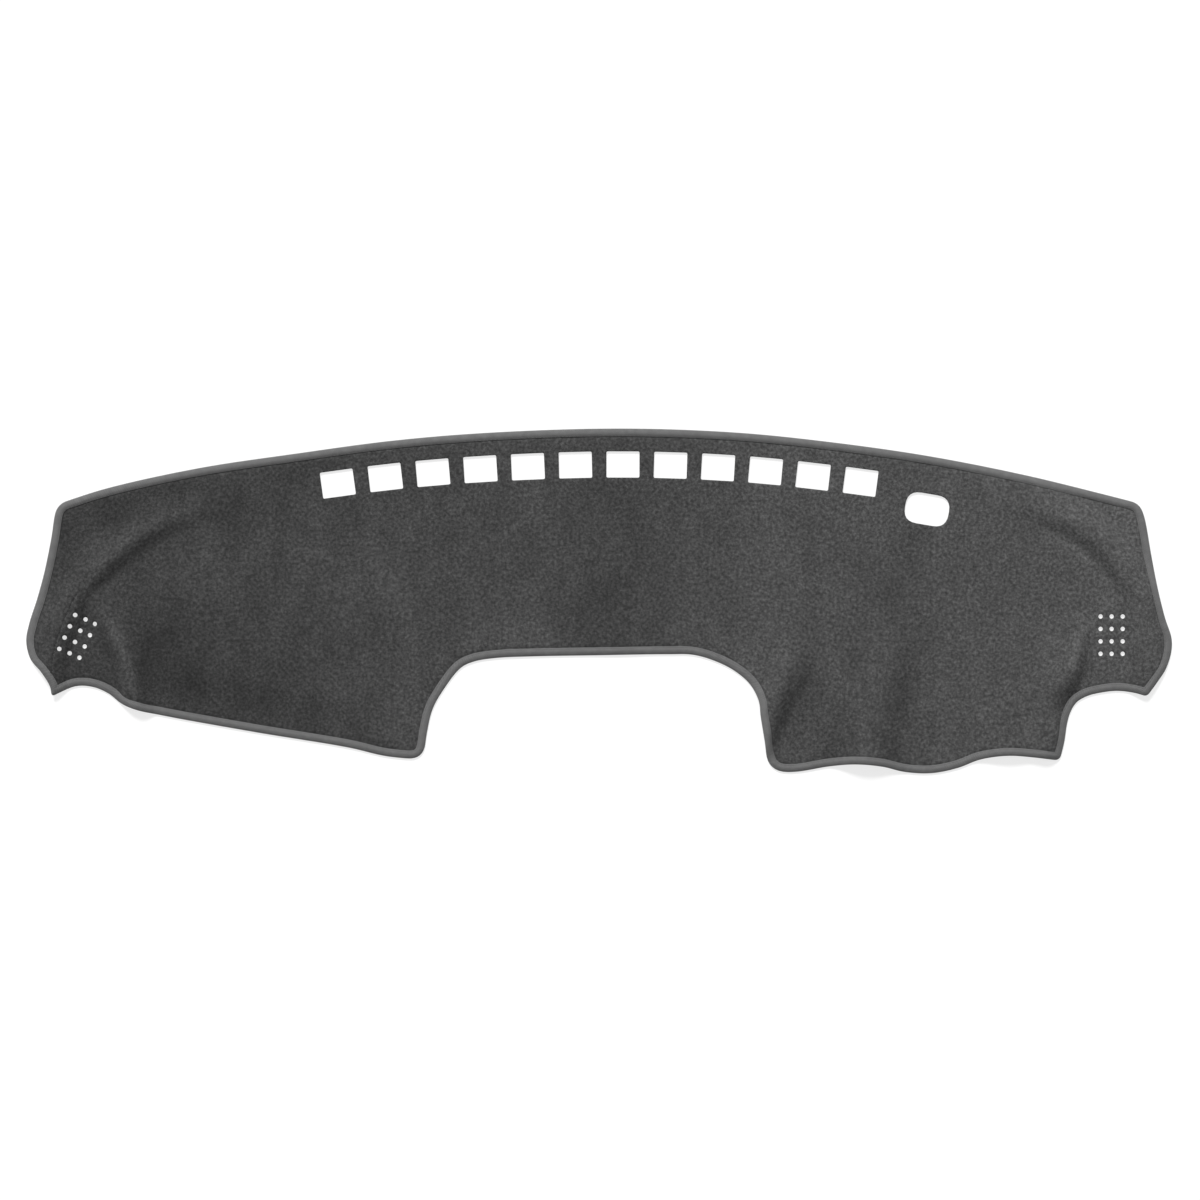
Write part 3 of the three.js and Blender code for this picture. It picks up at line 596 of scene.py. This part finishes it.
# Edge binding: a woven twill tape, folded over the whole edge of the carpet so that it stands
# as a plump roll on the upper side and lies flat underneath. It is sewn down along its inner
# edge, which it presses into the pile. Its section is points with an inset and a level.
TAPE_SECTION = [
    (0.2, 0.7), (0, 1.5), (0.35, 2.3), (1.2, 3.05), (2.5, 3.75), (4, 4.25), (5.3, 4.4),
    (6.6, 4.25), (7.6, 3.85), (8.5, 3.4), (9.3, 3.25), (9.7, 3.0), (9.7, 2.8), (1.6, 2.8),
    (1.6, 0.6), (10.2, 0.6), (10.2, 0.04), (8.6, 0.06), (1.2, 0)]
PLUMPNESS = 0.2
ROLL_LEVEL = 3.5
SWELL_LENGTH = 22
SWELL_SEED = 90
count = len(stations)
along = np.concatenate(([0], np.cumsum(
    np.linalg.norm(np.roll(stations, -1, 0) - stations, axis=1))))
points = []
for inset, height in TAPE_SECTION:
    line = rail(inset)
    plumpness = PLUMPNESS if height > ROLL_LEVEL else 0
    swell = np.array([noise.noise(Vector((x, y, SWELL_SEED)) / SWELL_LENGTH) for x, y in line])
    points.append(lay(line, height + plumpness * swell))
section = np.array(TAPE_SECTION + TAPE_SECTION[:1])
across = np.concatenate(([0], np.cumsum(np.linalg.norm(np.diff(section, axis=0), axis=1))))
faces = []
weave_places = []
for j in range(len(TAPE_SECTION)):
    after = (j + 1) % len(TAPE_SECTION)
    for i in range(count):
        onward = (i + 1) % count
        faces.append((j * count + i, after * count + i,
                      after * count + onward, j * count + onward))
        weave_places += [(along[i], across[j]), (along[i], across[j + 1]),
                         (along[i + 1], across[j + 1]), (along[i + 1], across[j])]
tape = new_piece("binding_tape", np.concatenate(points), faces)
layer = tape.data.uv_layers.new(name="weave")
layer.uv.foreach_set("vector", (np.array(weave_places) / MM_PER_METRE).ravel())
shell = bmesh.new()
shell.from_mesh(tape.data)
bmesh.ops.remove_doubles(shell, verts=shell.verts, dist=1e-6)
bmesh.ops.recalc_face_normals(shell, faces=shell.faces)
shell.to_mesh(tape.data)
shell.free()
tape.data.set_sharp_from_angle(angle=math.radians(60))

# Twill: ribs that cross the tape on the slant, over the fine ribs of its threads. The pitches
# are in metres.
RIB_PITCH = 0.0024
WARP_PITCH = 0.0009
WEFT_PITCH = 0.0011
twill = bpy.data.materials.new("twill_tape")
nodes = Nodes(twill)
weave = nodes.add("ShaderNodeUVMap", {"uv_map": "weave"}, {})
run = nodes.add("ShaderNodeSeparateXYZ", {}, {0: weave}, 0)
cross = nodes.add("ShaderNodeSeparateXYZ", {}, {0: weave}, 1)
place = nodes.add("ShaderNodeTexCoord", {}, {}, "Object")
worn = nodes.speckle(place, scale=160, detail=3)
rib = ((run + cross * 0.8) * (2 * math.pi / RIB_PITCH) + worn * 2.5).sine() * 0.5 + 0.5
warp = (cross * (2 * math.pi / WARP_PITCH)).sine()
weft = (run * (2 * math.pi / WEFT_PITCH)).sine()
yarn = warp * weft * 0.5 + 0.5
shade = rib * 0.35 + yarn * 0.15 + worn * 0.6
colour = nodes.blend(shade, grey(76), grey(122))
rib_bump = nodes.add("ShaderNodeBump", {}, {
    "Strength": 0.55, "Distance": 0.0004, "Height": rib * 0.7 + yarn * 0.3})
nodes.finish(colour, roughness=0.82, sheen=0.1, normal=rib_bump)
tape.data.materials.append(twill)

# Lockstitch of the binding: one polyester thread above and one below, which dip into the tape
# at each needle hole. They hold the two leaves of the tape to the rim of the carpet.
STITCH_PITCH = 4.6
STITCH_LENGTH = 3.5
STITCH_INSET = 8.2
FINE_STEP = 0.5
UPPER_LEVELS = np.array([3.3, 3.72, 3.72, 3.3])
LOWER_LEVELS = np.array([0.42, 0.24, 0.24, 0.42])
THREAD_RADIUS = 0.24
THREAD_SIDES = 6


def stitches(name, feet, heads, levels):
    """Threads from each foot to its head over the carpet, bowed and sunk by the levels"""
    shares = np.linspace(0, 1, len(levels))
    centres = feet[:, None] + shares[None, :, None] * (heads - feet)[:, None]
    count = len(feet)
    height = np.broadcast_to(levels, (count, len(levels)))
    middle = lay(centres.reshape(-1, 2), height.ravel()).reshape(count, len(levels), 3)
    tangent = middle[:, -1] - middle[:, 0]
    aside = np.column_stack([-tangent[:, 1], tangent[:, 0], np.zeros(count)])
    aside /= np.linalg.norm(aside, axis=1)[:, None]
    points = []
    for turn in np.linspace(0, 2 * np.pi, THREAD_SIDES, endpoint=False):
        points.append(middle + THREAD_RADIUS * (
            math.cos(turn) * aside[:, None] + math.sin(turn) * np.array([0, 0, 1])))
    points = np.stack(points, axis=2).reshape(-1, 3)
    faces = []
    for start in range(0, len(points), len(levels) * THREAD_SIDES):
        last = start + (len(levels) - 1) * THREAD_SIDES
        for near in range(start, last, THREAD_SIDES):
            far = near + THREAD_SIDES
            for side in range(THREAD_SIDES):
                onward = (side + 1) % THREAD_SIDES
                faces.append((near + side, near + onward, far + onward, far + side))
        faces.append(tuple(range(start + THREAD_SIDES - 1, start - 1, -1)))
        faces.append(tuple(range(last, last + THREAD_SIDES)))
    return new_piece(name, points, faces)


line = rail(STITCH_INSET)
line = even_steps(np.concatenate([line, line[:1]]), FINE_STEP)
pitch = STITCH_PITCH / FINE_STEP
starts = np.arange(0, len(line) - pitch, pitch).astype(int)
feet = line[starts]
heads = line[starts + round(STITCH_LENGTH / FINE_STEP)]
upper_thread = stitches("binding_thread_upper", feet, heads, UPPER_LEVELS)
lower_thread = stitches("binding_thread_lower", feet, heads, LOWER_LEVELS)

# Seam of each dart: the two cut edges butt together, and a thread ladders across them down in
# the groove. It stops three stitches short, where the groove runs out.
LADDER_PITCH = 4.2
LADDER_REACH = 1.5
LADDER_LEAN = 0.5
LADDER_LEVELS = np.array([2.2, 2.05, 2.05, 2.2])
ladder_feet = []
ladder_heads = []
for seam in (left_seam, right_seam):
    path = even_steps(seam[:, :2], LADDER_PITCH)[:-3]
    along = np.gradient(path, axis=0)
    along /= np.linalg.norm(along, axis=1)[:, None]
    across = np.column_stack([-along[:, 1], along[:, 0]])
    ladder_feet.append(path - LADDER_REACH * across - LADDER_LEAN * along)
    ladder_heads.append(path + LADDER_REACH * across + LADDER_LEAN * along)
ladder_thread = stitches("dart_thread", np.concatenate(ladder_feet),
                         np.concatenate(ladder_heads), LADDER_LEVELS)

# Sewing thread: grey polyester, twisted
thread = bpy.data.materials.new("sewing_thread")
nodes = Nodes(thread)
place = nodes.add("ShaderNodeTexCoord", {}, {}, "Object")
twist = nodes.speckle(place, scale=1400, detail=1)
colour = nodes.blend(twist, grey(70), grey(112))
thread_bump = nodes.add("ShaderNodeBump", {}, {
    "Strength": 0.4, "Distance": 0.0001, "Height": twist})
nodes.finish(colour, roughness=0.6, sheen=0.05, normal=thread_bump)
threads = [upper_thread, lower_thread, ladder_thread]
for piece in threads:
    piece.data.materials.append(thread)

# The whole mat rides on its one body: the felt and the tape stand for their solids, and the
# threads go with the sheet
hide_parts("carpet_panel")
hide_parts("edge_binding")
for piece in (panel, tape, *threads):
    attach(piece, "root")

# Studio: a plain pale floor under an even sky, a soft lamp beyond the windscreen edge and a
# little to the left, and the camera straight above. Lengths are in metres.
FLOOR_REACH = 15
FLOOR_LEVEL = -0.0006
floor_corners = [(x * FLOOR_REACH, y * FLOOR_REACH, FLOOR_LEVEL)
                 for x, y in ((-1, -1), (1, -1), (1, 1), (-1, 1))]
floor_mesh = bpy.data.meshes.new("floor")
floor_mesh.from_pydata(floor_corners, [], [(0, 1, 2, 3)])
floor = bpy.data.objects.new("floor", floor_mesh)
bpy.context.scene.collection.objects.link(floor)


def seen_directly(nodes):
    """1 for rays of the camera, straight, mirrored or through glass, and 0 for light"""
    straight, mirrored, through = [
        nodes.add("ShaderNodeLightPath", {}, {}, kind)
        for kind in ("Is Camera Ray", "Is Glossy Ray", "Is Transmission Ray")]
    return straight.math("MAXIMUM", straight.math("MAXIMUM", straight, mirrored), through)


pale = bpy.data.materials.new("floor_paint")
nodes = Nodes(pale)
seen = seen_directly(nodes)
shader = nodes.add("ShaderNodeBsdfPrincipled", {}, {
    "Base Color": nodes.blend(seen, (0.8, 0.8, 0.8, 1), (0.35, 0.35, 0.35, 1)),
    "Roughness": 0.9, "Specular IOR Level": 0,
    "Emission Color": (1, 1, 1, 1), "Emission Strength": seen * 0.72})
nodes.add("ShaderNodeOutputMaterial", {}, {"Surface": shader})
floor_mesh.materials.append(pale)

world = bpy.data.worlds.new("sky")
bpy.context.scene.world = world
nodes = Nodes(world)
seen = seen_directly(nodes)
sky = nodes.add("ShaderNodeBackground", {}, {
    "Color": (1, 1, 1, 1), "Strength": seen * 0.68 + 0.32})
nodes.add("ShaderNodeOutputWorld", {}, {"Surface": sky})

lamp_data = bpy.data.lights.new("soft_lamp", "SUN")
lamp_data.energy = 3.3
lamp_data.angle = math.radians(16)
lamp = bpy.data.objects.new("soft_lamp", lamp_data)
lamp.rotation_euler = Vector((0.27, -1.1, -1)).to_track_quat("-Z", "Y").to_euler()
bpy.context.scene.collection.objects.link(lamp)

camera_data = bpy.data.cameras.new("camera")
camera_data.sensor_width = 36
camera_data.lens = 147.2
camera_data.clip_end = 100
camera = bpy.data.objects.new("camera", camera_data)
camera.location = (0.001, 0.0009, 6)
bpy.context.scene.collection.objects.link(camera)
bpy.context.scene.camera = camera
bpy.context.scene.view_settings.view_transform = "Standard"
